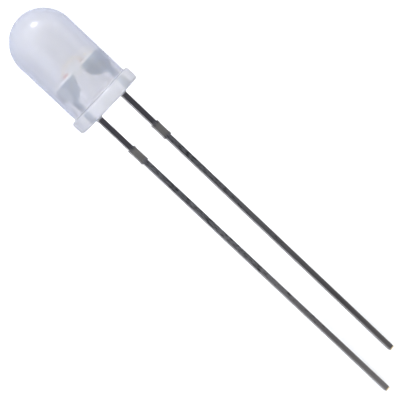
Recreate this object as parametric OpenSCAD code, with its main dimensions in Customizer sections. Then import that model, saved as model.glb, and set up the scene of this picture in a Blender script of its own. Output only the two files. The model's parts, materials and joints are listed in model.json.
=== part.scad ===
// Round through-hole LED, 5 mm, with a milky lens and two stamped leads.
// Millimetres. Each piece is modelled about the lamp's own axis: +Z points to the dome, z = 0 is
// the underside of the flange, X runs from the long lead (-X) to the short lead (+X), and Y is
// across the sheet that the leads are stamped from. laid_down() then puts the whole lamp on a
// table, where it rests on the rim of the flange and on the tips of both leads.

/* [Lens] */
// Diameter of the straight barrel
barrel_d = 5; // [4.6:0.1:6]
// Height from the underside of the flange to the top of the dome
lens_h = 8.85; // [7.5:0.05:12]
// How far the flange stands out from the barrel
flange_lip = 0.4; // [0.2:0.05:0.8]
// Thickness of the flange
flange_h = 1.05; // [0.6:0.05:1.5]
// Rounding of the flange's two rims
flange_edge_r = 0.2; // [0.05:0.01:0.25]
// How far the flat beside the short lead stands out from the barrel
flat_proud = 0.04; // [0.02:0.01:0.15]

/* [Leads] */
// Distance between the centres of the two leads
lead_pitch = 2.54; // [2.4:0.01:3]
// Width of a lead, across the pair
lead_w = 0.4; // [0.3:0.05:0.5]
// Thickness of the sheet that the leads are stamped from
sheet_t = 0.5; // [0.45:0.05:0.6]
// Length of the long lead below the flange
long_len = 30; // [15:0.1:32]
// How much shorter the short lead is
short_by = 1.8; // [0.5:0.1:3]

/* [Tie bar stubs] */
// Distance from the flange down to the stubs
stub_drop = 3.2; // [1:0.05:5]
// Length of a stub along the lead
stub_len = 1.4; // [0.6:0.05:2.5]
// How far a stub stands out from each side of the lead
stub_out = 0.07; // [0.03:0.01:0.15]
// How far the sheared ears at the stub's ends stand out past the stub
ear_out = 0.02; // [0.01:0.01:0.06]
// Length of an ear
ear_len = 0.18; // [0.1:0.01:0.25]

/* [Heads inside the lens] */
// Height of the heads' tops above the underside of the flange
head_z = 3.55; // [3.2:0.05:4.5]
// Clear gap between the two heads at their tops
head_gap = 0.5; // [0.4:0.02:0.6]
// How far the middle of that gap lies from the lamp's axis, towards the short lead
gap_shift = 0.11; // [0:0.01:0.12]
// Height of the bevels along the front and the back of a head's top
head_bevel_h = 0.2; // [0.1:0.05:0.3]
// How far the long lead's head stands out past the outer side of its lead
long_head_out = 0.18; // [0.05:0.01:0.3]
// How far the short lead's head stands out past the outer side of its lead
short_head_out = 0.48; // [0.35:0.01:0.5]
// Straight part of the outer side of the long lead's head, from the top
long_outer_h = 1.05; // [0.6:0.05:1.2]
// Straight part of the outer side of the short lead's head, from the top
short_outer_h = 1.15; // [0.6:0.05:1.2]
// Height of the slope below the outer side of the long lead's head
long_barb_h = 0.25; // [0.15:0.05:0.5]
// Height of the slope below the outer side of the short lead's head
short_barb_h = 0.4; // [0.15:0.05:0.5]
// Height of the long lead's head at its inner side, down to the corner
long_side_h = 1.3; // [0.9:0.05:1.35]
// How far the inner side of that head leans out at the corner
long_side_lean = 0.38; // [0.05:0.01:0.4]
// Height of the short lead's head at its inner side, down to the corner
short_side_h = 1.15; // [0.8:0.05:1.25]
// How far the inner side of that head leans out at the corner
short_side_lean = 0.04; // [0.02:0.01:0.3]
// Height from the top of a head to its foot at the neck
head_h = 1.75; // [1.6:0.05:2]
// Width of the slope under the long lead's head, from the corner
long_slope_w = 0.35; // [0.1:0.01:0.38]
// Width of the slope under the short lead's head, from the corner
short_slope_w = 0.36; // [0.2:0.01:0.42]
// Rise of a head's underside from the neck to the slope
head_sole_rise = 0.18; // [0.05:0.01:0.25]

/* [Dies] */
// Side of a die
die_w = 0.26; // [0.2:0.01:0.34]
// Height of a die
die_h = 0.22; // [0.1:0.01:0.26]
// Distance from the inner edge of the long lead's head to the middle of its die
long_die_in = 0.34; // [0.19:0.01:0.4]
// Distance from the inner edge of the short lead's head to the middle of its die
short_die_in = 0.23; // [0.19:0.01:0.3]
// Diameter of the coined dish under a die
dish_d = 0.34; // [0.3:0.01:0.36]
// Depth of the dish
dish_depth = 0.04; // [0.02:0.01:0.08]
// Flat rim left between a dish and the bevels of its head
dish_rim = 0.02; // [0.01:0.01:0.04]

/* [Bond wires] */
// Diameter of the gold wire
wire_d = 0.03; // [0.025:0.005:0.04]
// Diameter of the ball bond on a die
ball_d = 0.09; // [0.07:0.01:0.11]
// Height of the ball bond
ball_h = 0.03; // [0.02:0.005:0.04]
// Diameter of the stiff neck above the ball
neck_d = 0.05; // [0.045:0.005:0.065]
// Height of the neck, up to where the loop begins
neck_h = 0.12; // [0.08:0.01:0.3]
// Bending radius of the loop, along the wire's middle
loop_r = 0.34; // [0.3:0.02:0.5]
// Distance of each wire from the middle of the sheet, at its ball
wire_side = 0.07; // [0.06:0.01:0.08]
// The same distance where the wire lands on the other head
landing_side = 0.13; // [0.1:0.01:0.13]
// Distance from the outer side of the long lead's head to where a wire lands on it
long_landing_in = 0.4; // [0.25:0.01:0.45]
// Distance from the outer side of the short lead's head to where a wire lands on it
short_landing_in = 0.6; // [0.5:0.01:0.7]

/* [Hidden] */
$fn = 96;

// Overlap that makes a cut pass right through a surface
through = 0.5;

barrel_r = barrel_d / 2;
flange_r = barrel_r + flange_lip;
flat_x = barrel_r + flat_proud;
dome_z = lens_h - barrel_r;
short_len = long_len - short_by;

// Places across the pair, as distances from the lamp's axis
lead_in = (lead_pitch - lead_w) / 2;
lead_out = (lead_pitch + lead_w) / 2;
long_in = head_gap / 2 - gap_shift;
short_in = head_gap / 2 + gap_shift;
long_head_side = lead_out + long_head_out;
short_head_side = lead_out + short_head_out;
red_x = -(long_in + long_die_in);
green_x = short_in + short_die_in;
die_top = head_z + die_h;
// What the bevels leave of the sheet's half thickness, at the top of a head
top_half_t = dish_d / 2 + dish_rim;

// The lamp lies on the lower rim of the flange and on both lead tips, so its axis dips towards
// the tips, and it rolls a little because the short lead's tip is nearer than the long one's.
dip = atan((flange_r - sheet_t / 2) / (short_len + short_by * lead_out / lead_pitch + flange_edge_r));
roll = asin(short_by * tan(dip) / lead_pitch);
lift = (flange_r - flange_edge_r) * cos(dip) + flange_edge_r * (1 - sin(dip));
// Ends of the lamp as it lies, from the middle of the flange's underside
end_dome = -dome_z * cos(dip) - barrel_r;
end_tip = long_len * cos(dip) + sin(dip) * (lead_out * sin(roll) + sheet_t / 2 * cos(roll));
side_flat = flat_x * cos(roll) + sqrt(flange_r * flange_r - flat_x * flat_x) * sin(roll);

// Lays what is modelled about the lamp's axis on the table, with the middle of its length and
// width over the origin, the dome towards -X and the long lead towards -Y.
module laid_down() {
    translate([-(end_dome + end_tip) / 2, -(side_flat - flange_r) / 2, lift])
        rotate([-roll, dip, 0])
            rotate([-90, 0, 0])
                rotate([0, -90, 0])
                    children();
}

// Outline of a lead, half of the stamped frame, with x as the distance from the lamp's axis.
// It runs down the outer side from the head to the tip and back up the inner side.
function stub_side(x, way) = [
    [x, -stub_drop],
    [x + way * (stub_out + ear_out), -stub_drop],
    [x + way * (stub_out + ear_out), -stub_drop - ear_len],
    [x + way * stub_out, -stub_drop - ear_len * 1.5],
    [x + way * stub_out, -stub_drop - stub_len + ear_len * 1.5],
    [x + way * (stub_out + ear_out), -stub_drop - stub_len + ear_len],
    [x + way * (stub_out + ear_out), -stub_drop - stub_len],
    [x, -stub_drop - stub_len]
];

function reversed(points) = [for (i = [len(points) - 1 : -1 : 0]) points[i]];

function head_outer_side(outer, side_h, barb_h) = [
    [outer, head_z],
    [outer, head_z - side_h],
    [lead_out, head_z - side_h - barb_h]
];

function head_inner_side(inner, side_h, lean, slope_w) = [
    [lead_in, head_z - head_h],
    [inner + lean + slope_w, head_z - head_h + head_sole_rise],
    [inner + lean, head_z - side_h],
    [inner, head_z]
];

// One lead between the two sides of its head, with its coined dish at die_x
module lead_sheet(length, die_x, outer_side, inner_side) {
    outline = concat(
        outer_side, stub_side(lead_out, 1), [[lead_out, -length], [lead_in, -length]],
        reversed(stub_side(lead_in, -1)), inner_side
    );
    difference() {
        rotate([90, 0, 0])
            linear_extrude(height = sheet_t, center = true)
                polygon(outline);
        translate([die_x, 0, head_z - dish_depth])
            cylinder(d = dish_d, h = dish_depth + through);
        head_bevel();
        mirror([0, 1, 0])
            head_bevel();
    }
}

// What the coining presses off one long side of a head's top
module head_bevel() {
    rotate([90, 0, 90])
        linear_extrude(height = barrel_r)
            polygon([
                [sheet_t / 2, head_z - head_bevel_h],
                [top_half_t, head_z],
                [top_half_t, head_z + through],
                [sheet_t / 2 + through, head_z + through],
                [sheet_t / 2 + through, head_z - head_bevel_h]
            ]);
}

module die_at(x) {
    translate([x - die_w / 2, -die_w / 2, head_z])
        cube([die_w, die_w, die_h]);
}

// Silver-filled adhesive, which fills the coined dish under a die
module die_bond_at(x) {
    translate([x, 0, head_z - dish_depth])
        cylinder(d = dish_d, h = dish_depth);
}

// Gold wire from the ball on a die, up, round the loop and down to the other head. It lies in
// one upright plane: u is the distance along the table of that plane, from the ball.
module wire_between(from, to) {
    run = norm([to[0] - from[0], to[1] - from[1]]);
    drop = die_top - head_z;
    centre_u = loop_r;
    centre_v = ball_h + neck_h;
    // The straight fall touches the loop's circle and ends on the head
    to_end = [run - centre_u, -drop - centre_v];
    reach = norm(to_end);
    touch = atan2(to_end[1], to_end[0]) + acos(loop_r / reach);
    fall = sqrt(reach * reach - loop_r * loop_r);
    translate([from[0], from[1], die_top])
        rotate([0, 0, atan2(to[1] - from[1], to[0] - from[0])])
            difference() {
                union() {
                    cylinder(d = ball_d, h = ball_h);
                    // The neck grips the first stretch of the loop
                    cylinder(d = neck_d, h = centre_v + wire_d);
                    translate([centre_u, 0, centre_v])
                        rotate([90, 0, 0]) {
                            rotate([0, 0, touch])
                                rotate_extrude(angle = 180 - touch)
                                    translate([loop_r, 0])
                                        circle(d = wire_d);
                            rotate([0, 0, touch])
                                translate([loop_r, 0, 0])
                                    rotate([90, 0, 0])
                                        cylinder(d = wire_d, h = fall + 2 * wire_d);
                        }
                }
                // The head's top cuts the wire where it is welded down
                translate([run, 0, -drop - through / 2])
                    cube([2 * through, through, through], center = true);
            }
}

module lens_outside() {
    // Barrel and dome, one turned outline
    rotate_extrude() {
        square([barrel_r, dome_z]);
        translate([0, dome_z])
            intersection() {
                circle(r = barrel_r);
                square(barrel_r);
            }
    }
    // Flange with rounded rims, cut flat beside the short lead
    intersection() {
        rotate_extrude() {
            square([flange_r - flange_edge_r, flange_h]);
            translate([0, flange_edge_r])
                square([flange_r, flange_h - 2 * flange_edge_r]);
            for (z = [flange_edge_r, flange_h - flange_edge_r])
                translate([flange_r - flange_edge_r, z])
                    circle(r = flange_edge_r);
        }
        translate([-flange_r - through, -flange_r - through, -through])
            cube([flange_r + flat_x + through, 2 * (flange_r + through), flange_h + 2 * through]);
    }
}

// What the lens is moulded round
module enclosed() {
    long_lead_piece();
    short_lead_piece();
    for (x = [red_x, green_x]) {
        die_at(x);
        die_bond_at(x);
    }
    red_wire_piece();
    green_wire_piece();
}

module long_lead_piece() {
    mirror([1, 0, 0])
        lead_sheet(
            long_len, -red_x, head_outer_side(long_head_side, long_outer_h, long_barb_h),
            head_inner_side(long_in, long_side_h, long_side_lean, long_slope_w)
        );
}

module short_lead_piece() {
    lead_sheet(
        short_len, green_x, head_outer_side(short_head_side, short_outer_h, short_barb_h),
        head_inner_side(short_in, short_side_h, short_side_lean, short_slope_w)
    );
}

module red_wire_piece() {
    wire_between([red_x, -wire_side], [short_head_side - short_landing_in, -landing_side]);
}

module green_wire_piece() {
    wire_between([green_x, wire_side], [long_landing_in - long_head_side, landing_side]);
}

module lens() {
    color([0.82, 0.84, 0.88, 0.6])
        laid_down()
            difference() {
                lens_outside();
                enclosed();
            }
}

module long_lead() {
    color([0.36, 0.35, 0.36])
        laid_down() long_lead_piece();
}

module short_lead() {
    color([0.33, 0.32, 0.34])
        laid_down() short_lead_piece();
}

module red_die() {
    color([0.72, 0.16, 0.16])
        laid_down() die_at(red_x);
}

module green_die() {
    color([0.45, 0.42, 0.3])
        laid_down() die_at(green_x);
}

module red_die_bond() {
    color([0.75, 0.75, 0.76])
        laid_down() die_bond_at(red_x);
}

module green_die_bond() {
    color([0.75, 0.75, 0.76])
        laid_down() die_bond_at(green_x);
}

module red_wire() {
    color([0.85, 0.66, 0.3])
        laid_down() red_wire_piece();
}

module green_wire() {
    color([0.85, 0.66, 0.3])
        laid_down() green_wire_piece();
}

lens();
long_lead();
short_lead();
red_die();
green_die();
red_die_bond();
green_die_bond();
red_wire();
green_wire();
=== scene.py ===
"""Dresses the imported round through-hole LED: epoxy lens, plated leads, dies, bond wires and stage."""

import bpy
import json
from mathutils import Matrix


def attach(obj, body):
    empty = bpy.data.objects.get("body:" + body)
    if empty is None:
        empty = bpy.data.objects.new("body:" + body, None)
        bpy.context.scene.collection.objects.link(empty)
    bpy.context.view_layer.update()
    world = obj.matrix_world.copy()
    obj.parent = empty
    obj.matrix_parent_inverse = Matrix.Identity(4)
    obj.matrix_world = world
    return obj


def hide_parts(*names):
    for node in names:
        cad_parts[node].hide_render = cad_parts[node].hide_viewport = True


bl_info = {
    "name": "Through-hole LED",
    "version": (1, 0, 0),
    "blender": (4, 5, 0),
    "location": "3D View > Sidebar > LED",
    "description": "Builds the visible pieces of a milky 5 mm through-hole LED and its studio stage",
    "category": "Object",
}

import json
import math

import bmesh
import bpy
from bpy.props import FloatProperty, FloatVectorProperty, PointerProperty
from mathutils import Matrix, Vector

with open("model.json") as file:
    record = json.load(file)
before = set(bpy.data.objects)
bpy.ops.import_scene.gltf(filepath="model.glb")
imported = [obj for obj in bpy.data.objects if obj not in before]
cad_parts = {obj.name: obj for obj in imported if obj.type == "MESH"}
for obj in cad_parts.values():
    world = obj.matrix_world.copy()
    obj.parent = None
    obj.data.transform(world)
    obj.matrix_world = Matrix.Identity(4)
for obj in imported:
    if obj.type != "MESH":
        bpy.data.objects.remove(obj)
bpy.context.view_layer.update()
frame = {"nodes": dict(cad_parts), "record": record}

MM = 0.001

# The lamp's own frame, read from the mounts: z runs to the dome from the middle of the flange's
# underside, and x runs from the long lead to the short one.
mounts = {mount["name"]: mount for mount in frame["record"]["mounts"]}


def lamp_frame():
    """Matrix from the lamp's own millimetres to the frame's metres."""
    z = Vector(mounts["lens_barrel"]["axis"]).normalized()
    x = Vector(mounts["short_lead_pin"]["pos_m"]) - Vector(mounts["long_lead_pin"]["pos_m"])
    x = (x - z * x.dot(z)).normalized()
    turn = Matrix((x, z.cross(x), z)).transposed().to_4x4()
    return Matrix.Translation(mounts["flange_underside"]["pos_m"]) @ turn @ Matrix.Scale(MM, 4)


LAMP = lamp_frame()


def cad_extent(node):
    """Lowest and highest corner of a CAD node in the lamp's own millimetres."""
    to_lamp = LAMP.inverted()
    points = [to_lamp @ v.co for v in frame["nodes"][node].data.vertices]
    return (Vector([min(p[i] for p in points) for i in range(3)]),
            Vector([max(p[i] for p in points) for i in range(3)]))


lens_low, lens_high = cad_extent("lens")
long_low, long_high = cad_extent("long_lead")
short_low, short_high = cad_extent("short_lead")
red_low, red_high = cad_extent("red_die")
green_low, green_high = cad_extent("green_die")


def linear(hex_colour):
    """An sRGB hex colour as linear red, green, blue and alpha."""
    shares = [int(hex_colour[i:i + 2], 16) / 255 for i in (1, 3, 5)]
    return tuple(c / 12.92 if c <= 0.04045 else ((c + 0.055) / 1.055) ** 2.4 for c in shares) + (1.0,)


def size_prop(name, text, millimetres, low=0.0, high=100.0):
    """A length that the sidebar shows with its unit."""
    return FloatProperty(name=name, description=text, default=millimetres * MM, min=low * MM,
                         max=high * MM, precision=5, unit="LENGTH")


def colour_prop(name, text, hex_colour):
    return FloatVectorProperty(name=name, description=text, default=linear(hex_colour), size=4,
                               min=0.0, max=1.0, subtype="COLOR")


def share_prop(name, text, share):
    return FloatProperty(name=name, description=text, default=share, min=0.0, max=1.0, subtype="FACTOR")


class LensSettings(bpy.types.PropertyGroup):
    barrel_radius: size_prop("Barrel radius", "Radius of the straight barrel and of the dome",
                             mounts["lens_barrel"]["dims"]["r_mm"], 1, 6)
    height: size_prop("Height", "From the flange's underside to the top of the dome", lens_high.z, 4, 14)
    flange_radius: size_prop("Flange radius", "Radius of the flange", -lens_low.x, 1, 7)
    flange_height: size_prop(
        "Flange thickness", "Thickness of the flange",
        (LAMP.inverted() @ Vector(mounts["flange_seat"]["pos_m"])).z, 0.3, 2)
    flat: size_prop("Flat", "Distance from the axis to the flat beside the short lead", lens_high.x, 1, 6)
    rim_radius: size_prop("Rim rounding", "Rounding of the flange's rims", 0.2, 0.02, 0.4)
    flat_edge: size_prop("Flat's edge", "Rounding of the flat's two edges", 0.03, 0.005, 0.1)
    root_radius: size_prop("Root fillet", "Fillet where the barrel meets the flange", 0.12, 0.01, 0.3)
    meniscus: size_prop("Meniscus", "How far the epoxy creeps down each lead", 0.18, 0, 0.6)
    colour: colour_prop("Epoxy", "Colour of the milky epoxy", "#F3EFE9")
    # Paler colour of the epoxy at the flange
    foot_colour: colour_prop("Epoxy at the flange", "Paler colour where the haze has settled", "#F8F5F5")
    # Painted light: the warm glow painted into the epoxy's colour around the gold wires
    glow: colour_prop("Glow", "Warm tint of the haze around the gold wires", "#FCF5EA")
    clearness: share_prop("Clearness", "Share of the light that passes the epoxy unscattered", 0.68)
    foot_clearness: share_prop("Clearness at the flange", "The same share in the flange", 0.55)
    # Painted shade: these coat tints darken the epoxy, most of all at its limbs, where it is seen aslant
    limb_shade_tint: colour_prop("Bloom", "Tint of the thin bloom on the skin", "#E1E4EC")
    foot_limb_shade_tint: colour_prop("Bloom at the flange", "Tint of the bloom on the flange", "#E1E2E5")


class LeadSettings(bpy.types.PropertyGroup):
    edge: size_prop("Edge rounding", "Rounding that the tin leaves on the stamped edges", 0.05, 0, 0.1)
    tin: colour_prop("Tin", "Colour of the dull tin plating", "#B9B4B1")
    stain: colour_prop("Stain", "Darker streaks in the plating", "#4A4748")
    bevelled: colour_prop("Bevel", "Colour of the coined bevels along the heads", "#D0CDC8")
    # Partly the matt torn steel, partly painted light: near-white so that the sides inside the lens look lit
    sheared_and_lit: colour_prop("Sheared side", "Colour of the matt sides that the stamping tore", "#F2F0EC")
    tinned_side: colour_prop("Tinned side", "The same sides below the lens, where tin covers them", "#8E8C89")
    # Darker colour of the first stretch below the lens
    first_stretch: colour_prop("Oxide", "Colour of the stretch between the lens and the stubs", "#706B6D")
    scraped: colour_prop("Scraped", "Colour of the stubs, where the tie bar was cut away", "#7E7B77")
    burnished: colour_prop("Burnished side", "Where the punch rubbed the sides of the heads", "#B4B3B4")
    bare: colour_prop("Cut end", "Bare metal where the lead was cut off", "#E2CB98")
    # Part of the blue in the head plating is a painted reflection of the bluish light that the heads mirror
    # through the haze
    silver: colour_prop("Head plating", "Colour of the silver-plated heads", "#879FB6")
    # Paler patch on the long lead's head
    pale_silver: colour_prop("Thin head plating", "Paler patch on the long lead's head", "#CCD3DA")
    stub_start: size_prop("Oxide's end", "Height of the oxide's lower end, below the flange", -3.2, -5, 0)
    bare_length: size_prop("Bare length", "How far the cut has dragged the plating off the tip", 0.1, 0, 0.5)
    # How much darker the short lead is than the long one
    short_darkening: share_prop("Wear", "How much duller the short lead is than the long one", 0.4)


class DieSettings(bpy.types.PropertyGroup):
    edge: size_prop("Chipped edge", "Rounding of the sawn edges", 0.012, 0, 0.05)
    pad_radius: size_prop("Pad radius", "Radius of the gold pad under the ball", 0.062, 0.02, 0.12)
    pad_height: size_prop("Pad height", "Height of the gold pad", 0.006, 0.001, 0.02)
    red: colour_prop("Red die", "Colour of the red die", "#C4242C")
    green: colour_prop("Green die", "Colour of the green die", "#C2A39E")
    adhesive_radius: size_prop("Adhesive radius", "Radius of the adhesive's foot", 0.19, 0.1, 0.3)
    adhesive_climb: size_prop("Adhesive climb", "How far the adhesive climbs the die", 0.045, 0, 0.1)
    adhesive: colour_prop("Adhesive", "Colour of the silver-filled adhesive", "#B9BABC")


class WireSettings(bpy.types.PropertyGroup):
    gold: colour_prop("Gold", "Colour of the gold wire", "#F2C679")
    stitch_length: size_prop("Stitch length", "Length of the flattened foot on the head", 0.09, 0.02, 0.2)
    stitch_height: size_prop("Stitch height", "Height of the flattened foot", 0.014, 0.005, 0.05)


class StageSettings(bpy.types.PropertyGroup):
    floor: colour_prop("Floor", "Colour of the paper floor", "#FAFAFA")
    floor_size: FloatProperty(name="Floor size", description="Side of the square floor", default=2.0,
                              min=0.2, max=10.0, unit="LENGTH")
    aim: FloatVectorProperty(name="Aim", description="Point that the camera looks at", size=3,
                             default=(-0.001101, -0.00041, 0.002057), precision=6, subtype="XYZ",
                             unit="LENGTH")
    distance: FloatProperty(name="Distance", description="Distance from the camera to its aim",
                            default=0.07342, min=0.02, max=1.0, precision=5, unit="LENGTH")
    azimuth: FloatProperty(name="Azimuth", description="Direction of the camera from the aim, from +X",
                           default=math.radians(-119.0826), precision=4, subtype="ANGLE", unit="ROTATION")
    elevation: FloatProperty(name="Elevation", description="Height of the camera over the horizon",
                             default=math.radians(81.3708), precision=4, subtype="ANGLE", unit="ROTATION")
    turn: FloatProperty(name="Turn", description="Turn of the camera about its line of sight",
                        default=math.radians(71.3761), precision=4, subtype="ANGLE", unit="ROTATION")
    focal: FloatProperty(name="Focal length", description="Focal length in millimetres on a 36 mm sensor",
                         default=90.2, min=10, max=300)
    key: FloatProperty(name="Key light", description="Power of the key light in watts", default=0.72,
                       min=0, max=20)
    horizon: FloatProperty(name="Horizon", description="Brightness of the tent near the table",
                           default=0.58, min=0, max=5)
    sky: FloatProperty(name="Tent", description="Brightness of the tent's upper walls", default=2.32,
                       min=0, max=5)
    zenith: FloatProperty(name="Tent's mouth", description="Brightness of the dark opening overhead",
                          default=0.22, min=0, max=5)
    room: colour_prop("Room", "Tint of the dim room around the tent", "#B9C8E8")
    daylight: colour_prop("Daylight", "Tint of the tent's wall beside the long lead", "#E8EDFA")


SETTINGS = {"led_lens": LensSettings, "led_leads": LeadSettings, "led_dies": DieSettings,
            "led_wires": WireSettings, "led_stage": StageSettings}


def add_node(tree, kind, inputs=None, **settings):
    """Adds a shader node, with its settings, and sets or links each named input."""
    node = tree.nodes.new("ShaderNode" + kind)
    for name, value in settings.items():
        setattr(node, name, value)
    for name, value in (inputs or {}).items():
        if isinstance(value, bpy.types.NodeSocket):
            tree.links.new(value, node.inputs[name])
        else:
            node.inputs[name].default_value = value
    return node


def new_material(name):
    """An empty node material, with its tree and its output node."""
    material = bpy.data.materials.new(name)
    material.use_nodes = True
    material.node_tree.nodes.clear()
    return material, material.node_tree, add_node(material.node_tree, "OutputMaterial")


def per_mm(millimetres):
    """Texture scale for a pattern that repeats about every so many millimetres."""
    return 1 / (millimetres * MM)


def lamp_coordinates(tree):
    """Position in the lamp's own frame, in metres: x across the leads, z towards the dome."""
    world = add_node(tree, "NewGeometry").outputs["Position"]
    shift = add_node(tree, "VectorMath", {0: world, 1: LAMP.translation}, operation="SUBTRACT").outputs[0]
    turned = [add_node(tree, "VectorMath", {0: shift, 1: LAMP.col[i].to_3d() / MM}, operation="DOT_PRODUCT")
              .outputs["Value"] for i in range(3)]
    return add_node(tree, "CombineXYZ", {0: turned[0], 1: turned[1], 2: turned[2]}).outputs[0]


def stretched(tree, place, along):
    """The same coordinates with those along the leads divided, so that a pattern runs along them."""
    return add_node(tree, "VectorMath", {0: place, 1: (1, 1, 1 / along)}, operation="MULTIPLY").outputs[0]


def oval_mask(tree, place, middle, radii, fade, most=1.0, curve="LINEAR"):
    """A mask inside an upright oval of the lamp. Its middle and radii are (x, z) in millimetres, and
    fade gives the shares of the radii where the mask starts and where it is full."""
    shift = add_node(tree, "VectorMath", {0: place, 1: (middle[0] * MM, 0, middle[1] * MM)},
                     operation="SUBTRACT")
    scaled = add_node(tree, "VectorMath", {0: shift.outputs[0], 1: (1 / radii[0], 0, 1 / radii[1])},
                      operation="MULTIPLY")
    far = add_node(tree, "VectorMath", {0: scaled.outputs[0]}, operation="LENGTH")
    return add_node(tree, "MapRange", {"Value": far.outputs["Value"], "From Min": fade[0] * MM,
                                       "From Max": fade[1] * MM, "To Max": most},
                    interpolation_type=curve).outputs[0]


def band_mask(tree, height, middle, fade):
    """A mask over a band of heights. fade gives the distances from the middle, in millimetres, where
    the mask starts and where it is full."""
    level = add_node(tree, "Math", {0: height, 1: middle * MM}, operation="SUBTRACT")
    off = add_node(tree, "Math", {0: level.outputs[0]}, operation="ABSOLUTE")
    return add_node(tree, "MapRange", {"Value": off.outputs[0], "From Min": fade[0] * MM,
                                       "From Max": fade[1] * MM}).outputs[0]


def facing(tree, normal, axis):
    """How squarely the surface faces along one of the lamp's axes, from 0 to 1."""
    way = add_node(tree, "VectorMath", {0: normal, 1: LAMP.col[axis].to_3d() / MM},
                   operation="DOT_PRODUCT")
    return add_node(tree, "Math", {0: way.outputs["Value"]}, operation="ABSOLUTE").outputs[0]


def diffused_epoxy(s):
    """Optical epoxy with white diffuser powder, cast in a polished mould: a glossy skin over a
    bluish-white haze, in which whatever is cast in shows pale and a little magnified."""
    cloud_size, swell_size = 1.5, 0.8
    foot_top, foot_full = 1.5, 1.0
    painted_glow_middle, painted_glow_radii, painted_glow_fade, painted_glow_most = (0.3, 3.6), (1.7, 0.7), (1.15, 0.75), 0.6
    drift_start, drift_end, drift_loss = -1.6, 0.6, 0.07
    body_polish, foot_polish = 0.18, 0.12
    material, tree, out = new_material("diffused_epoxy_cast")
    place = lamp_coordinates(tree)
    # The powder settles unevenly, in soft clouds
    cloud = add_node(tree, "TexNoise", {"Vector": place, "Scale": per_mm(cloud_size), "Detail": 2.0})
    tint = add_node(tree, "Mix", {0: cloud.outputs["Fac"], 6: s.colour,
                                  7: [c * 0.96 for c in s.colour[:3]] + [1]}, data_type="RGBA")
    # Towards the flange the epoxy is paler
    height = add_node(tree, "SeparateXYZ", {0: place}).outputs["Z"]
    foot = add_node(tree, "MapRange", {"Value": height, "From Min": foot_top * MM,
                                       "From Max": foot_full * MM}, interpolation_type="SMOOTHSTEP")
    paler = add_node(tree, "Mix", {0: foot.outputs[0], 6: tint.outputs[2], 7: s.foot_colour},
                     data_type="RGBA")
    # Painted light: a warm glow, such as the gold wires and the silver heads throw into the haze above them,
    # is painted into the epoxy's colour
    near = oval_mask(tree, place, painted_glow_middle, painted_glow_radii, painted_glow_fade, painted_glow_most, "SMOOTHSTEP")
    warm = add_node(tree, "Mix", {0: near, 6: paler.outputs[2], 7: s.glow}, data_type="RGBA")
    # The powder drifted a little towards the long lead while the epoxy set
    across = add_node(tree, "SeparateXYZ", {0: place}).outputs["X"]
    drift = add_node(tree, "MapRange", {"Value": across, "From Min": drift_start * MM,
                                        "From Max": drift_end * MM, "To Min": s.clearness - drift_loss,
                                        "To Max": s.clearness})
    clear = add_node(tree, "Mix", {0: foot.outputs[0], 2: drift.outputs[0], 3: s.foot_clearness})
    # The flange's part of the mould is polished best
    polish = add_node(tree, "Mix", {0: foot.outputs[0], 2: body_polish, 3: foot_polish})
    # The coat's tint darkens the epoxy, most of all where it is seen aslant: painted shade at the limbs
    limb_shade_tint = add_node(tree, "Mix", {0: foot.outputs[0], 6: s.limb_shade_tint, 7: s.foot_limb_shade_tint}, data_type="RGBA")
    # The mould's polish leaves a long swell, a few micrometres high
    swell = add_node(tree, "TexNoise", {"Vector": place, "Scale": per_mm(swell_size), "Detail": 1.0})
    skin = add_node(tree, "Bump", {"Height": swell.outputs["Fac"], "Distance": 0.004 * MM, "Strength": 0.1})
    surface = add_node(tree, "BsdfPrincipled", {
        "Base Color": warm.outputs[2], "Normal": skin.outputs[0], "Roughness": polish.outputs[0],
        "IOR": 1.53, "Specular IOR Level": 0.32, "Coat Weight": 1.0, "Coat Roughness": 0.2,
        "Coat IOR": 1.095, "Coat Tint": limb_shade_tint.outputs[2], "Transmission Weight": clear.outputs[0],
        "Subsurface Weight": 1.0, "Subsurface Radius": (1.0, 1.0, 1.1), "Subsurface Scale": 1.5 * MM})
    # Haze lets the studio lamps through to what is cast in
    shade = add_node(tree, "BsdfTransparent", {"Color": (0.96, 0.97, 0.98, 1)})
    path = add_node(tree, "LightPath")
    mix = add_node(tree, "MixShader", {0: path.outputs["Is Shadow Ray"], 1: surface.outputs[0],
                                       2: shade.outputs[0]})
    tree.links.new(mix.outputs[0], out.inputs["Surface"])
    return material


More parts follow.
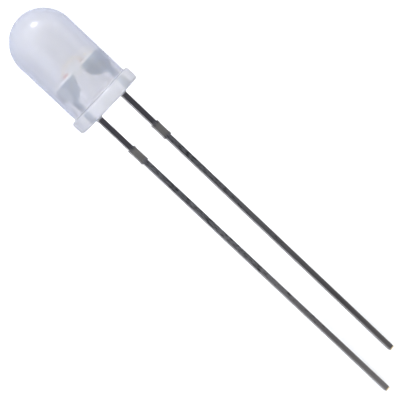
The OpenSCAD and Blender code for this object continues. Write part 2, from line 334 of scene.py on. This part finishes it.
def lead_colour(tree, s, place, height, runs, tip_z, darkening):
    """Colour of a lead's rolled faces, with the masks of its scraped stub, of the part inside the lens and of
    the paler patch in its silver. Heights are in millimetres from the flange's underside."""
    patch_size, inside_full = 0.7, 0.4
    tipward_from, tipward_to, tipward_most = 20, 6, 0.8
    # Dull and bright stretches, three times as long as wide
    patches = add_node(tree, "TexNoise", {"Vector": stretched(tree, place, 3),
                                          "Scale": per_mm(patch_size), "Detail": 2.0})
    patchy = add_node(tree, "MapRange", {"Value": patches.outputs["Fac"], "From Min": 0.4,
                                         "From Max": 0.6})
    streaky = add_node(tree, "MapRange", {"Value": runs, "From Min": 0.36, "From Max": 0.64})
    stained = add_node(tree, "Mix", {0: 0.75, 2: patchy.outputs[0], 3: streaky.outputs[0]})
    # Darker towards the tip
    tipward_dark = add_node(tree, "MapRange", {
        "Value": height, "From Min": (tip_z + tipward_from) * MM, "From Max": (tip_z + tipward_to) * MM,
        "To Min": darkening, "To Max": tipward_most + darkening / 3})
    darker = add_node(tree, "Math", {0: stained.outputs[0], 1: tipward_dark.outputs[0]}, operation="MAXIMUM")
    plain = add_node(tree, "Mix", {0: darker.outputs[0], 6: s.tin, 7: s.stain}, data_type="RGBA")
    # The first stretch below the lens is darker, down to the stubs
    near_lens = add_node(tree, "MapRange", {"Value": height, "From Min": s.stub_start - 0.1 * MM,
                                         "From Max": s.stub_start + 0.2 * MM})
    first = add_node(tree, "Mix", {0: near_lens.outputs[0], 6: plain.outputs[2], 7: s.first_stretch},
                     data_type="RGBA")
    # The cutting of the tie bar scraped the stubs pale
    scraped = band_mask(tree, height, s.stub_start / MM - 0.7, (0.66, 0.4))
    tin = add_node(tree, "Mix", {0: scraped, 6: first.outputs[2], 7: s.scraped}, data_type="RGBA")
    inside = add_node(tree, "MapRange", {"Value": height, "From Min": 0.0,
                                         "From Max": inside_full * MM}).outputs[0]
    # A paler patch in the silver on the long lead's head, above its stem
    thin = oval_mask(tree, place, (-1.33, 2.8), (0.32, 0.85), (1.1, 0.7))
    # The plating's blue is partly a painted reflection
    silver = add_node(tree, "Mix", {0: thin, 6: s.silver, 7: s.pale_silver}, data_type="RGBA")
    plated = add_node(tree, "Mix", {0: inside, 6: tin.outputs[2], 7: silver.outputs[2]},
                      data_type="RGBA")
    bare = add_node(tree, "MapRange", {"Value": height, "From Min": tip_z * MM + s.bare_length,
                                       "From Max": tip_z * MM + s.bare_length * 0.6})
    colour = add_node(tree, "Mix", {0: bare.outputs[0], 6: plated.outputs[2], 7: s.bare},
                      data_type="RGBA")
    return colour.outputs[2], scraped, inside, thin


def side_colour(tree, s, normal, height, inside):
    """Colour of the sides that the stamping tore, near-white inside the lens as painted light, and of the
    bevels along the heads.
    """
    sideways = add_node(tree, "MapRange", {"Value": facing(tree, normal, 0), "From Min": 0.5,
                                           "From Max": 0.8})
    clean = add_node(tree, "Mix", {0: sideways.outputs[0], 6: s.bevelled, 7: s.sheared_and_lit},
                     data_type="RGBA")
    # Inside the lens the sides take the near-white colour, painted light; below it they are tinned
    bright = add_node(tree, "Mix", {0: inside, 6: s.tinned_side, 7: clean.outputs[2]}, data_type="RGBA")
    # The punch burnished the outer sides of the heads above their barbs
    rubbed = band_mask(tree, height, 2.87, (0.42, 0.28))
    return add_node(tree, "Mix", {0: rubbed, 6: bright.outputs[2], 7: s.burnished},
                    data_type="RGBA").outputs[2]


def plated_steel(s, tip_z, darkening):
    """Steel strip, stamped and hot-dip tinned: dull grey with streaks along the lead, and darker towards the
    tip by the given darkening. The heads are silver plated for the dies, and the tip is bare where it was
    cut."""
    run_size, line_size = 0.11, 0.05
    material, tree, out = new_material("steel_stamped_tinned")
    place = lamp_coordinates(tree)
    height = add_node(tree, "SeparateXYZ", {0: place}).outputs["Z"]
    # Runs of tin, four times as long as wide
    runs = add_node(tree, "TexNoise", {"Vector": stretched(tree, place, 4), "Scale": per_mm(run_size),
                                       "Detail": 3.0, "Roughness": 0.6}).outputs["Fac"]
    colour, scraped, inside, thin = lead_colour(tree, s, place, height, runs, tip_z, darkening)
    dull = add_node(tree, "MapRange", {"Value": runs, "To Min": 0.24, "To Max": 0.42})
    coarse = add_node(tree, "Mix", {0: scraped, 2: dull.outputs[0], 3: 0.5})
    soft = add_node(tree, "Mix", {0: thin, 2: 0.32, 3: 0.5})
    rough = add_node(tree, "Mix", {0: inside, 2: coarse.outputs[0], 3: soft.outputs[0]})
    # Rolling lines under the tin
    lines = add_node(tree, "TexNoise", {"Vector": stretched(tree, place, 30),
                                        "Scale": per_mm(line_size), "Detail": 2.0})
    relief = add_node(tree, "Bump", {"Height": lines.outputs["Fac"], "Distance": 0.003 * MM,
                                     "Strength": 0.6})
    # The rolled faces look along the lamp's Y and mirror the dark overhead. The sides are torn by the
    # stamping and matt; inside the lens their near-white colour is also painted light, brightening them as
    # light from the side would.
    normal = add_node(tree, "NewGeometry").outputs["Normal"]
    torn = add_node(tree, "MapRange", {"Value": facing(tree, normal, 1), "From Min": 0.985,
                                       "From Max": 0.93})
    finish = add_node(tree, "Mix", {0: torn.outputs[0], 6: colour,
                                    7: side_colour(tree, s, normal, height, inside)}, data_type="RGBA")
    grain = add_node(tree, "Mix", {0: torn.outputs[0], 2: rough.outputs[0], 3: 0.6})
    surface = add_node(tree, "BsdfPrincipled", {
        "Base Color": finish.outputs[2], "Metallic": 1.0, "Roughness": grain.outputs[0],
        "Normal": relief.outputs[0]})
    tree.links.new(surface.outputs[0], out.inputs["Surface"])
    return material


def die_crystal(name, colour):
    """Semiconductor crystal, sawn from a wafer: deep colour, polished on top, fine saw lines on the
    sides."""
    material, tree, out = new_material(name)
    place = lamp_coordinates(tree)
    # Saw lines 0.02 mm apart, level with the head
    level = add_node(tree, "VectorMath", {0: place, 1: (0.1, 0.1, 1)}, operation="MULTIPLY")
    saw = add_node(tree, "TexNoise", {"Vector": level.outputs[0], "Scale": per_mm(0.02), "Detail": 2.0})
    shade = add_node(tree, "Mix", {0: saw.outputs["Fac"], 6: colour,
                                   7: [c * 0.6 for c in colour[:3]] + [1]}, data_type="RGBA")
    rough = add_node(tree, "MapRange", {"Value": saw.outputs["Fac"], "To Min": 0.2, "To Max": 0.5})
    surface = add_node(tree, "BsdfPrincipled", {
        "Base Color": shade.outputs[2], "Roughness": rough.outputs[0], "IOR": 2.0})
    tree.links.new(surface.outputs[0], out.inputs["Surface"])
    return material


def silver_adhesive(s):
    """Epoxy paste full of silver flakes, oven cured: pale grey, dull, with a grain of flakes."""
    material, tree, out = new_material("silver_epoxy_cured")
    # Flakes about 0.012 mm across
    flakes = add_node(tree, "TexVoronoi", {"Vector": lamp_coordinates(tree), "Scale": per_mm(0.012)})
    grey = add_node(tree, "Mix", {0: flakes.outputs["Distance"], 6: s.adhesive,
                                  7: [c * 0.5 for c in s.adhesive[:3]] + [1]}, data_type="RGBA")
    relief = add_node(tree, "Bump", {"Height": flakes.outputs["Distance"], "Distance": 0.003 * MM,
                                     "Strength": 0.5})
    surface = add_node(tree, "BsdfPrincipled", {
        "Base Color": grey.outputs[2], "Metallic": 0.7, "Roughness": 0.5, "Normal": relief.outputs[0]})
    tree.links.new(surface.outputs[0], out.inputs["Surface"])
    return material


def drawn_gold(name, colour, roughness):
    """Fine gold: warm and bright, with faint marks of the drawing die."""
    material, tree, out = new_material(name)
    # Marks 0.01 mm wide
    marks = add_node(tree, "TexNoise", {"Vector": lamp_coordinates(tree), "Scale": per_mm(0.01)})
    rough = add_node(tree, "MapRange", {"Value": marks.outputs["Fac"], "To Min": roughness * 0.8,
                                        "To Max": roughness * 1.3})
    tone = add_node(tree, "Mix", {0: marks.outputs["Fac"], 6: colour,
                                  7: [c * 0.85 for c in colour[:3]] + [1]}, data_type="RGBA")
    surface = add_node(tree, "BsdfPrincipled", {
        "Base Color": tone.outputs[2], "Metallic": 1.0, "Roughness": rough.outputs[0]})
    tree.links.new(surface.outputs[0], out.inputs["Surface"])
    return material


def paper(s):
    """Matt white background paper, with a faint grain."""
    material, tree, out = new_material("background_paper_matt")
    place = add_node(tree, "NewGeometry").outputs["Position"]
    # Fibre clouds about 0.6 mm across
    grain = add_node(tree, "TexNoise", {"Vector": place, "Scale": per_mm(0.6), "Detail": 2.0})
    tone = add_node(tree, "Mix", {0: grain.outputs["Fac"], 6: s.floor,
                                  7: [c * 0.985 for c in s.floor[:3]] + [1]}, data_type="RGBA")
    surface = add_node(tree, "BsdfPrincipled", {"Base Color": tone.outputs[2], "Roughness": 0.9})
    tree.links.new(surface.outputs[0], out.inputs["Surface"])
    return material


def place_piece(name, bm, materials, replaced=(), sharp=40):
    """Turns a mesh in the lamp's own millimetres into a piece that rides on the lamp."""
    bmesh.ops.transform(bm, matrix=LAMP, verts=bm.verts)
    bmesh.ops.recalc_face_normals(bm, faces=bm.faces)
    mesh = bpy.data.meshes.new(name)
    bm.to_mesh(mesh)
    bm.free()
    mesh.shade_smooth()
    mesh.set_sharp_from_angle(angle=math.radians(sharp))
    piece = bpy.data.objects.new(name, mesh)
    bpy.context.scene.collection.objects.link(piece)
    for material in materials:
        mesh.materials.append(material)
    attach(piece, "root")
    if replaced:
        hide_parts(*replaced)
    return piece


def arc(centre, radius, start, stop, steps):
    """Points (radius, height) along an arc of the profile, angles in degrees from outwards."""
    return [(centre[0] + radius * math.cos(math.radians(a)), centre[1] + radius * math.sin(math.radians(a)))
            for a in (start + (stop - start) * i / steps for i in range(steps + 1))]


pitch_half = (LAMP.inverted() @ Vector(mounts["short_lead_pin"]["pos_m"])).x
stem_half_width = 0.2


def outside_lead(x, y):
    """Distance in millimetres from a point on the flange's underside to the nearest lead."""
    best = math.inf
    for low, high in ((long_low, long_high), (short_low, short_high)):
        middle = math.copysign(pitch_half, low.x + high.x)
        dx = max(abs(x - middle) - stem_half_width, 0)
        dy = max(abs(y) - high.y, 0)
        best = min(best, math.hypot(dx, dy))
    return best


class LED_OT_lens(bpy.types.Operator):
    """Builds the epoxy lens: barrel, dome, flange with its flat, and the creep of epoxy on the leads"""
    bl_idname = "led.lens"
    bl_label = "Epoxy lens"

    around, chord, under_rings, barrel_rings, dome_rings = 240, 24, 46, 12, 40

    def execute(self, context):
        s = context.scene.led_lens
        radius, height = s.barrel_radius / MM, s.height / MM
        flange, thick, flat = s.flange_radius / MM, s.flange_height / MM, s.flat / MM
        rim, root, soft, creep = (v / MM for v in (s.rim_radius, s.root_radius, s.flat_edge, s.meniscus))
        under = [((flange - rim) * i / self.under_rings, 0) for i in range(1, self.under_rings)]
        shoulder, centre = thick + root, height - radius
        straight = [(radius, shoulder + (centre - shoulder) * i / self.barrel_rings)
                    for i in range(1, self.barrel_rings)]
        profile = (under
                   + arc((flange - rim, rim), rim, -90, 0, 6)
                   + arc((flange - rim, thick - rim), rim, 0, 90, 6)
                   + [(radius + (flange - rim - radius) * 0.6, thick)]
                   + arc((radius + root, shoulder), root, 270, 180, 4)
                   + straight
                   + arc((0, centre), radius, 0, 90, self.dome_rings)[:-1])
        corner = math.acos(flat / flange)
        rest = self.around - self.chord
        angles = ([-corner + 2 * corner * i / self.chord for i in range(self.chord)]
                  + [corner + (2 * math.pi - 2 * corner) * i / rest for i in range(rest)])
        bm = bmesh.new()
        rings = []
        for r, z in profile:
            ring = []
            # The mould rounds the flat's two edges a little
            inset = max(soft - max(min(z, thick - z), 0), 0)
            limit = flat - soft + math.sqrt(soft ** 2 - inset ** 2)
            for angle in angles:
                x, y = min(r * math.cos(angle), limit), r * math.sin(angle)
                # The epoxy creeps down each lead and thins out with the distance from it
                dip = creep * math.exp(-outside_lead(x, y) / (creep * 0.55)) if z == 0 and creep else 0
                ring.append(bm.verts.new((x, y, z - dip)))
            rings.append(ring)
        bottom = bm.verts.new((0, 0, 0))
        top = bm.verts.new((0, 0, height))
        count = len(angles)
        for i in range(count):
            j = (i + 1) % count
            bm.faces.new((bottom, rings[0][j], rings[0][i]))
            bm.faces.new((top, rings[-1][i], rings[-1][j]))
            for low, high in zip(rings, rings[1:]):
                bm.faces.new((low[i], low[j], high[j], high[i]))
        # In the middle of the flat, points of neighbouring rings fall together
        bmesh.ops.remove_doubles(bm, verts=bm.verts, dist=1e-4)
        place_piece("epoxy_lens", bm, [diffused_epoxy(s)], ["lens"], sharp=60)
        return {"FINISHED"}


class LED_OT_leads(bpy.types.Operator):
    """Dresses both stamped leads, with their edges rounded by the tin"""
    bl_idname = "led.leads"
    bl_label = "Plated leads"

    def execute(self, context):
        s = context.scene.led_leads
        for node, low, darkening in (("long_lead", long_low, 0.0), ("short_lead", short_low, s.short_darkening)):
            bm = bmesh.new()
            bm.from_mesh(frame["nodes"][node].data)
            bmesh.ops.transform(bm, matrix=LAMP.inverted(), verts=bm.verts)
            bmesh.ops.remove_doubles(bm, verts=bm.verts, dist=1e-4)
            bmesh.ops.dissolve_limit(bm, angle_limit=math.radians(1), verts=bm.verts, edges=bm.edges)
            sharp = [e for e in bm.edges if e.is_manifold and e.calc_face_angle() > math.radians(30)]
            bmesh.ops.bevel(bm, geom=sharp, offset=s.edge / MM, segments=2, affect="EDGES",
                            clamp_overlap=True, profile=0.5)
            steel = plated_steel(s, low.z, darkening)
            place_piece(node + "_plated", bm, [steel], [node], sharp=50)
        return {"FINISHED"}


class LED_OT_dies(bpy.types.Operator):
    """Builds the two dies with their gold pads, and the adhesive that holds them"""
    bl_idname = "led.dies"
    bl_label = "Dies"

    ball_side = 0.06
    foot_around, foot_rings = 64, 6

    def execute(self, context):
        s = context.scene.led_dies
        gold = drawn_gold("gold_pad_evaporated", context.scene.led_wires.gold, 0.3)
        paste = silver_adhesive(s)
        for colour, low, high, ball in (("red", red_low, red_high, cad_extent("red_wire")),
                                        ("green", green_low, green_high, cad_extent("green_wire"))):
            crystal = die_crystal(colour + "_crystal_sawn", getattr(s, colour))
            self.die(colour, low, high, ball, crystal, gold, s)
            self.bond(colour, low, high, paste, s)
        return {"FINISHED"}

    def die(self, colour, low, high, wire, crystal, gold, s):
        bm = bmesh.new()
        middle = (low + high) / 2
        bmesh.ops.create_cube(bm, size=1, matrix=Matrix.Translation(middle) @ Matrix.Diagonal(
            (high - low).to_4d()))
        upper = [e for e in bm.edges if all(v.co.z > middle.z for v in e.verts)
                 or abs(e.verts[0].co.z - e.verts[1].co.z) > 0.01]
        bmesh.ops.bevel(bm, geom=upper, offset=s.edge / MM, segments=2, affect="EDGES", profile=0.5)
        # The pad lies under the ball, off the middle of the die and clear of its edge
        side = math.copysign(1, wire[0].y + wire[1].y)
        pad_r, pad_h = s.pad_radius / MM, s.pad_height / MM
        pad = bmesh.ops.create_cone(
            bm, cap_ends=True, segments=32, radius1=pad_r, radius2=pad_r * 0.94, depth=pad_h,
            matrix=Matrix.Translation((middle.x, side * self.ball_side, high.z + pad_h / 2)))
        for face in {f for v in pad["verts"] for f in v.link_faces}:
            face.material_index = 1
        place_piece(colour + "_crystal", bm, [crystal, gold], [colour + "_die"])

    def bond(self, colour, low, high, paste, s):
        """A foot of adhesive, round at its edge and square where it climbs the die."""
        middle = (low + high) / 2
        half = (high.x - low.x) / 2
        foot, climb = s.adhesive_radius / MM, s.adhesive_climb / MM
        bm = bmesh.new()
        count = self.foot_around
        rings = []
        for k in range(self.foot_rings + 1):
            share = k / self.foot_rings
            ring = []
            for i in range(count):
                angle = 2 * math.pi * i / count
                square = half / max(abs(math.cos(angle)), abs(math.sin(angle)))
                square = min(square, half * 1.25)
                r = foot + (square - foot) * share
                z = low.z + climb * share ** 2 - 0.004 * (1 - share)
                ring.append(bm.verts.new((middle.x + r * math.cos(angle), middle.y + r * math.sin(angle), z)))
            rings.append(ring)
        base = [bm.verts.new((v.co.x, v.co.y, low.z - 0.03)) for v in rings[0]]
        for i in range(count):
            j = (i + 1) % count
            bm.faces.new((base[i], base[j], rings[0][j], rings[0][i]))
            for inner, outer in zip(rings, rings[1:]):
                bm.faces.new((inner[i], inner[j], outer[j], outer[i]))
        bm.faces.new(rings[-1])
        bm.faces.new(base)
        place_piece(colour + "_adhesive", bm, [paste], [colour + "_die_bond"])


class LED_OT_wires(bpy.types.Operator):
    """Gives the bond wires their gold, and adds the flattened stitch at the end of each"""
    bl_idname = "led.wires"
    bl_label = "Bond wires"

    def execute(self, context):
        s = context.scene.led_wires
        gold = drawn_gold("gold_wire_drawn", s.gold, 0.2)
        for colour in ("red", "green"):
            node = frame["nodes"][colour + "_wire"]
            node.data.materials.clear()
            node.data.materials.append(gold)
            self.stitch(colour, node, gold, s)
        return {"FINISHED"}

    def stitch(self, colour, node, gold, s):
        to_lamp = LAMP.inverted()
        points = [to_lamp @ v.co for v in node.data.vertices]
        foot = min(p.z for p in points)
        landed = [p for p in points if p.z < foot + 0.002]
        end = sum(landed, Vector()) / len(landed)
        bm = bmesh.new()
        length, height = s.stitch_length / MM, s.stitch_height / MM
        bmesh.ops.create_uvsphere(
            bm, u_segments=20, v_segments=10, radius=0.5,
            matrix=Matrix.Translation((end.x, end.y, foot)) @ Matrix.Diagonal(
                (length, length * 0.6, height, 1)))
        place_piece(colour + "_wire_stitch", bm, [gold])


class LED_OT_stage(bpy.types.Operator):
    """Lays the paper floor and sets up the studio light and the camera"""
    bl_idname = "led.stage"
    bl_label = "Stage"

    mouth, mouth_edge = (0.2, 0.25, 0.95), (0.52, 0.9)
    bright_wall = (0.75, 0.66, 0)
    backdrop = 0.95
    key_place, key_size = (-0.27, 0.07, 0.152), (0.08, 0.055)

    def execute(self, context):
        s = context.scene.led_stage
        self.floor(s)
        self.surround(s)
        self.softbox("key", self.key_place, self.key_size, s.key)
        self.camera(s)
        context.scene.view_settings.view_transform = "Standard"
        return {"FINISHED"}

    def floor(self, s):
        mesh = bpy.data.meshes.new("paper_floor")
        half = s.floor_size / 2
        mesh.from_pydata([(-half, -half, 0), (half, -half, 0), (half, half, 0), (-half, half, 0)], [],
                         [(0, 1, 2, 3)])
        mesh.materials.append(paper(s))
        floor = bpy.data.objects.new("paper_floor", mesh)
        bpy.context.scene.collection.objects.link(floor)

    def surround(self, s):
        """White all round and dark overhead, as in a light tent with the camera at its mouth."""
        world = bpy.data.worlds.new("light_tent")
        world.use_nodes = True
        tree = world.node_tree
        tree.nodes.clear()
        way = add_node(tree, "TexCoord").outputs["Generated"]
        up = add_node(tree, "SeparateXYZ", {0: way}).outputs["Z"]
        ring = add_node(tree, "MapRange", {"Value": up, "From Min": 0.0, "From Max": 0.5,
                                           "To Min": s.horizon, "To Max": s.sky},
                        interpolation_type="SMOOTHSTEP")
        # The mouth is not quite overhead: it leans the way that the leads' rolled faces mirror
        mouth = add_node(tree, "VectorMath", {0: way, 1: Vector(self.mouth).normalized()},
                         operation="DOT_PRODUCT").outputs["Value"]
        glow = add_node(tree, "MapRange", {
            "Value": mouth, "From Min": self.mouth_edge[0], "From Max": self.mouth_edge[1],
            "To Min": ring.outputs[0], "To Max": s.zenith}, interpolation_type="SMOOTHSTEP")
        seen = add_node(tree, "LightPath").outputs["Is Camera Ray"]
        # Daylight falls in from the side of the long lead
        aside = add_node(tree, "SeparateXYZ", {0: way}).outputs["Y"]
        day = add_node(tree, "MapRange", {"Value": aside, "From Min": 0.1, "From Max": -0.8})
        # The wall beyond the short lead is lit brightest
        across = add_node(tree, "VectorMath", {0: way, 1: self.bright_wall}, operation="DOT_PRODUCT")
        more = add_node(tree, "MapRange", {"Value": across.outputs["Value"], "From Min": -0.8,
                                           "From Max": 0.8, "To Min": 0.92, "To Max": 1.28})
        walls = add_node(tree, "Math", {0: glow.outputs[0], 1: more.outputs[0]}, operation="MULTIPLY")
        strength = add_node(tree, "Mix", {0: seen, 2: walls.outputs[0], 3: self.backdrop})
        wall = add_node(tree, "Mix", {0: day.outputs[0], 6: (1, 1, 1, 1), 7: s.daylight}, data_type="RGBA")
        # Where the tent is dim it looks out into a bluish room
        lit = add_node(tree, "MapRange", {"Value": strength.outputs[0], "From Min": s.zenith,
                                          "From Max": 0.9})
        tone = add_node(tree, "Mix", {0: lit.outputs[0], 6: s.room, 7: wall.outputs[2]}, data_type="RGBA")
        background = add_node(tree, "Background", {"Color": tone.outputs[2],
                                                   "Strength": strength.outputs[0]})
        out = add_node(tree, "OutputWorld")
        tree.links.new(background.outputs[0], out.inputs["Surface"])
        bpy.context.scene.world = world

    def softbox(self, name, place, size, power):
        """A soft lamp that gives gloss and leaves no shadow on the paper."""
        lamp = bpy.data.lights.new(name, "AREA")
        lamp.shape = "ELLIPSE"
        lamp.size, lamp.size_y = size
        lamp.energy = power
        lamp.use_shadow = False
        light = bpy.data.objects.new(name, lamp)
        light.location = place
        light.rotation_euler = (-Vector(place)).to_track_quat("-Z", "Y").to_euler()
        bpy.context.scene.collection.objects.link(light)

    def camera(self, s):
        lens = bpy.data.cameras.new("photo_camera")
        lens.lens, lens.sensor_width, lens.clip_start, lens.clip_end = s.focal, 36, 0.001, 10
        camera = bpy.data.objects.new("photo_camera", lens)
        back = Vector((math.cos(s.elevation) * math.cos(s.azimuth),
                       math.cos(s.elevation) * math.sin(s.azimuth), math.sin(s.elevation)))
        look = (-back).to_track_quat("-Z", "Y").to_matrix().to_4x4()
        camera.matrix_world = (Matrix.Translation(Vector(s.aim) + back * s.distance) @ look
                               @ Matrix.Rotation(s.turn, 4, "Z"))
        bpy.context.scene.collection.objects.link(camera)
        bpy.context.scene.camera = camera


class LED_PT_panel(bpy.types.Panel):
    """Lists the steps that build the lamp"""
    bl_idname = "LED_PT_panel"
    bl_label = "Through-hole LED"
    bl_space_type = "VIEW_3D"
    bl_region_type = "UI"
    bl_category = "LED"

    def draw(self, context):
        for step, group in STEPS:
            box = self.layout.box()
            box.operator(step.bl_idname)
            for name in SETTINGS[group].__annotations__:
                box.prop(getattr(context.scene, group), name)


STEPS = ((LED_OT_lens, "led_lens"), (LED_OT_leads, "led_leads"), (LED_OT_dies, "led_dies"),
         (LED_OT_wires, "led_wires"), (LED_OT_stage, "led_stage"))


def register():
    for group, settings in SETTINGS.items():
        bpy.utils.register_class(settings)
        setattr(bpy.types.Scene, group, PointerProperty(type=settings))
    for step, _ in STEPS:
        bpy.utils.register_class(step)
    bpy.utils.register_class(LED_PT_panel)


def unregister():
    bpy.utils.unregister_class(LED_PT_panel)
    for step, _ in reversed(STEPS):
        bpy.utils.unregister_class(step)
    for group, settings in SETTINGS.items():
        delattr(bpy.types.Scene, group)
        bpy.utils.unregister_class(settings)


def main():
    register()
    bpy.ops.led.stage()
    bpy.ops.led.leads()
    bpy.ops.led.dies()
    bpy.ops.led.wires()
    bpy.ops.led.lens()


if __name__ == "__main__":
    main()
